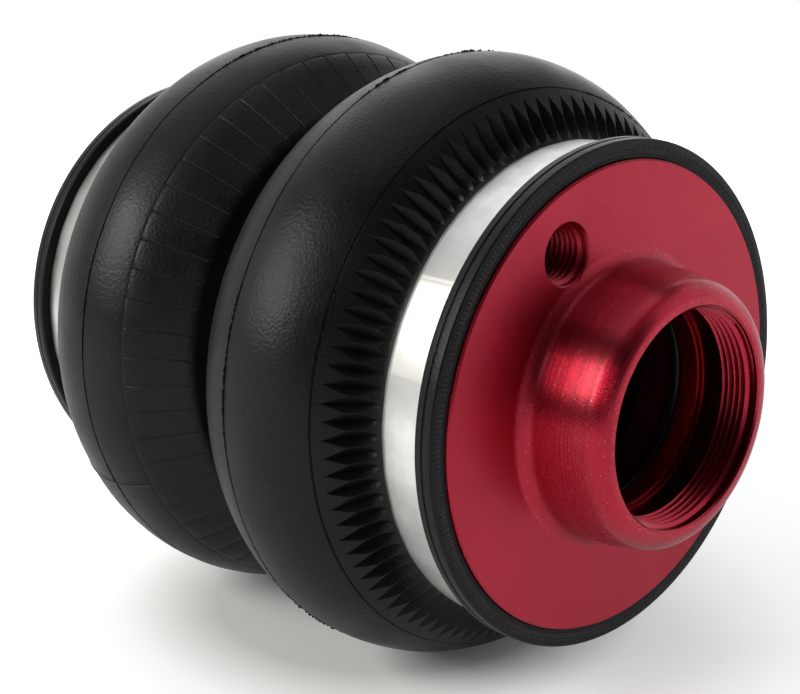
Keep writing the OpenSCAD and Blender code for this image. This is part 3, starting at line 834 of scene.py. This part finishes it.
hub_cap = turned_piece("hub_cap", hub_cap_section(), np.arange(0, 360, 1.5), 1, sharp=25.0)
bored(hub_cap, (PORT_Y, PORT_Z), PORT_R, HUB_FACE - PORT_DEPTH, HUB_FACE, HUB_FACE + 5)
wear(hub_cap, RED_METAL)
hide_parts("hub_end_cap")
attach(hub_cap, "hub_end")
hub_thread = thread_ridge("hub_thread", (0, 0), THREAD_R, THREAD_PITCH, THREAD_END - 0.3,
                          THREAD_START + 0.6, THREAD_RIDGE, per_turn=160)
port_thread = thread_ridge("port_thread", (PORT_Y, PORT_Z), PORT_R, PORT_PITCH, HUB_FACE - 0.9,
                           HUB_FACE - 11.5, THREAD_RIDGE, PIPE_TAPER, per_turn=64)
for thread in (hub_thread, port_thread):
    wear(thread, RED_METAL)
    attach(thread, "hub_end")

# Stage, light and camera


def floor_finish():
    """White sweep: diffuse, so that it keeps the object's shadow, with a painted glow added for camera and
    mirror rays that grows with the distance from the object, so that it reads as white paper. The glow is
    faint near the object, so the shade round the object there is partly painted shade."""
    finish, tree, shader, where = new_finish("white_sweep")
    tree.nodes.remove(shader)
    out = tree.nodes["Material Output"]
    paper = place(tree, "ShaderNodeBsdfDiffuse", Color=(0.9, 0.9, 0.9, 1))
    painted_glow = place(tree, "ShaderNodeEmission", Color=(1, 1, 1, 1))
    rays = tree.nodes.new("ShaderNodeLightPath")
    mirrored = place(tree, "ShaderNodeMath", operation="MAXIMUM")
    dimmed = place(tree, "ShaderNodeMath", operation="MULTIPLY")
    dimmed.inputs[1].default_value = 0.34
    seen = place(tree, "ShaderNodeMath", operation="MAXIMUM")
    lift = place(tree, "ShaderNodeMath", operation="MULTIPLY")
    near = span(tree, 0.0, 1.0, 0.0, 0.4)
    away = place(tree, "ShaderNodeVectorMath", operation="DISTANCE")
    away.inputs[1].default_value = (MIDDLE * MM, 0, FLOOR_Z * MM)
    # Painted glow by distance from the object's middle: 0.04 within 44 mm, rising to 0.95 at 400 mm; the
    # faint glow near the object paints shade round it
    painted_glow_ramp = ramp(tree, [(0.11, (0.04,) * 3), (0.165, (0.4,) * 3), (0.26, (0.56,) * 3), (1.0, (0.95,) * 3)])
    both = tree.nodes.new("ShaderNodeAddShader")
    join(tree, (rays.outputs["Is Glossy Ray"], mirrored.inputs[0]),
         (rays.outputs["Is Transmission Ray"], mirrored.inputs[1]),
         (rays.outputs["Is Camera Ray"], seen.inputs[0]), (mirrored.outputs[0], dimmed.inputs[0]),
         (dimmed.outputs[0], seen.inputs[1]),
         (where.outputs["Object"], away.inputs[0]), (away.outputs["Value"], near.inputs[0]),
         (near.outputs[0], painted_glow_ramp.inputs[0]), (painted_glow_ramp.outputs[0], lift.inputs[1]),
         (seen.outputs[0], lift.inputs[0]), (lift.outputs[0], painted_glow.inputs["Strength"]),
         (paper.outputs[0], both.inputs[0]), (painted_glow.outputs[0], both.inputs[1]),
         (both.outputs[0], out.inputs["Surface"]))
    return finish


def sweep(name):
    """White floor: a flat sheet far larger than the view, just under the lowest point."""
    half = 4000.0
    corners = [[-half, -half, FLOOR_Z], [half, -half, FLOOR_Z], [half, half, FLOOR_Z], [-half, half, FLOOR_Z]]
    return put_mesh(name, corners, [[0, 1, 2, 3]])


floor = sweep("floor")
floor.data.materials.append(floor_finish())


def soft_lamp(name, place_mm, aim_mm, wide, high, watts, tint):
    """A softbox of the given width and height in metres that faces its aim."""
    lamp = bpy.data.lights.new(name, "AREA")
    lamp.shape, lamp.size, lamp.size_y, lamp.energy = "RECTANGLE", wide, high, watts
    lamp.color = tint
    holder = bpy.data.objects.new(name, lamp)
    bpy.context.scene.collection.objects.link(holder)
    holder.location = Vector(place_mm) * MM
    holder.rotation_euler = (Vector(aim_mm) - Vector(place_mm)).to_track_quat("-Z", "Y").to_euler()


CENTRE = (75, 0, 0)
WARM, COOL = (1.0, 0.97, 0.92), (0.95, 0.97, 1.0)
soft_lamp("left_lamp", (-135, -680, 384), CENTRE, 0.5, 0.38, 5.6, WARM)
soft_lamp("top_lamp", (-180, 20, 850), CENTRE, 0.8, 1.2, 2.9, COOL)
soft_lamp("back_lamp", (-500, 550, 350), CENTRE, 0.8, 0.8, 1.8, COOL)
soft_lamp("right_lamp", (555, 600, 300), CENTRE, 0.8, 0.8, 1.6, COOL)

world = bpy.data.worlds.new("studio")
bpy.context.scene.world = world
world.use_nodes = True
sky = world.node_tree
sky_out = sky.nodes["World Output"]
room = sky.nodes["Background"]
backdrop = place(sky, "ShaderNodeBackground", Color=(1, 1, 1, 1), Strength=1.0)
rays = sky.nodes.new("ShaderNodeLightPath")
pick = sky.nodes.new("ShaderNodeMixShader")
compass = sky.nodes.new("ShaderNodeTexCoord")
behind = place(sky, "ShaderNodeVectorMath", operation="DOT_PRODUCT")
behind.inputs[1].default_value = (-0.75, 0.5, -0.43)
wall = span(sky, 0.0, 1.0, 0.15, 0.5)
mirrored = place(sky, "ShaderNodeMath", operation="MAXIMUM")
reflected = place(sky, "ShaderNodeMath", operation="MULTIPLY")
shown = place(sky, "ShaderNodeMath", operation="MAXIMUM")
join(sky, (compass.outputs["Generated"], behind.inputs[0]), (behind.outputs["Value"], wall.inputs[0]),
     (rays.outputs["Is Glossy Ray"], mirrored.inputs[0]),
     (rays.outputs["Is Transmission Ray"], mirrored.inputs[1]),
     (mirrored.outputs[0], reflected.inputs[0]), (wall.outputs[0], reflected.inputs[1]),
     (reflected.outputs[0], shown.inputs[0]), (rays.outputs["Is Camera Ray"], shown.inputs[1]),
     (shown.outputs[0], pick.inputs[0]), (room.outputs[0], pick.inputs[1]),
     (backdrop.outputs[0], pick.inputs[2]), (pick.outputs[0], sky_out.inputs["Surface"]))
room.inputs["Color"].default_value = (1, 1, 1, 1)
room.inputs["Strength"].default_value = 0.04

view = bpy.data.cameras.new("photo_camera")
view.lens, view.sensor_width, view.clip_end = 72.2, 36.0, 50.0
camera = bpy.data.objects.new("photo_camera", view)
bpy.context.scene.collection.objects.link(camera)
camera.location = (0.3591, -0.2598, 0.1070)
camera.rotation_euler = (radians(73.92), 0.0, radians(47.08))
bpy.context.scene.camera = camera
bpy.context.scene.view_settings.view_transform = "Standard"
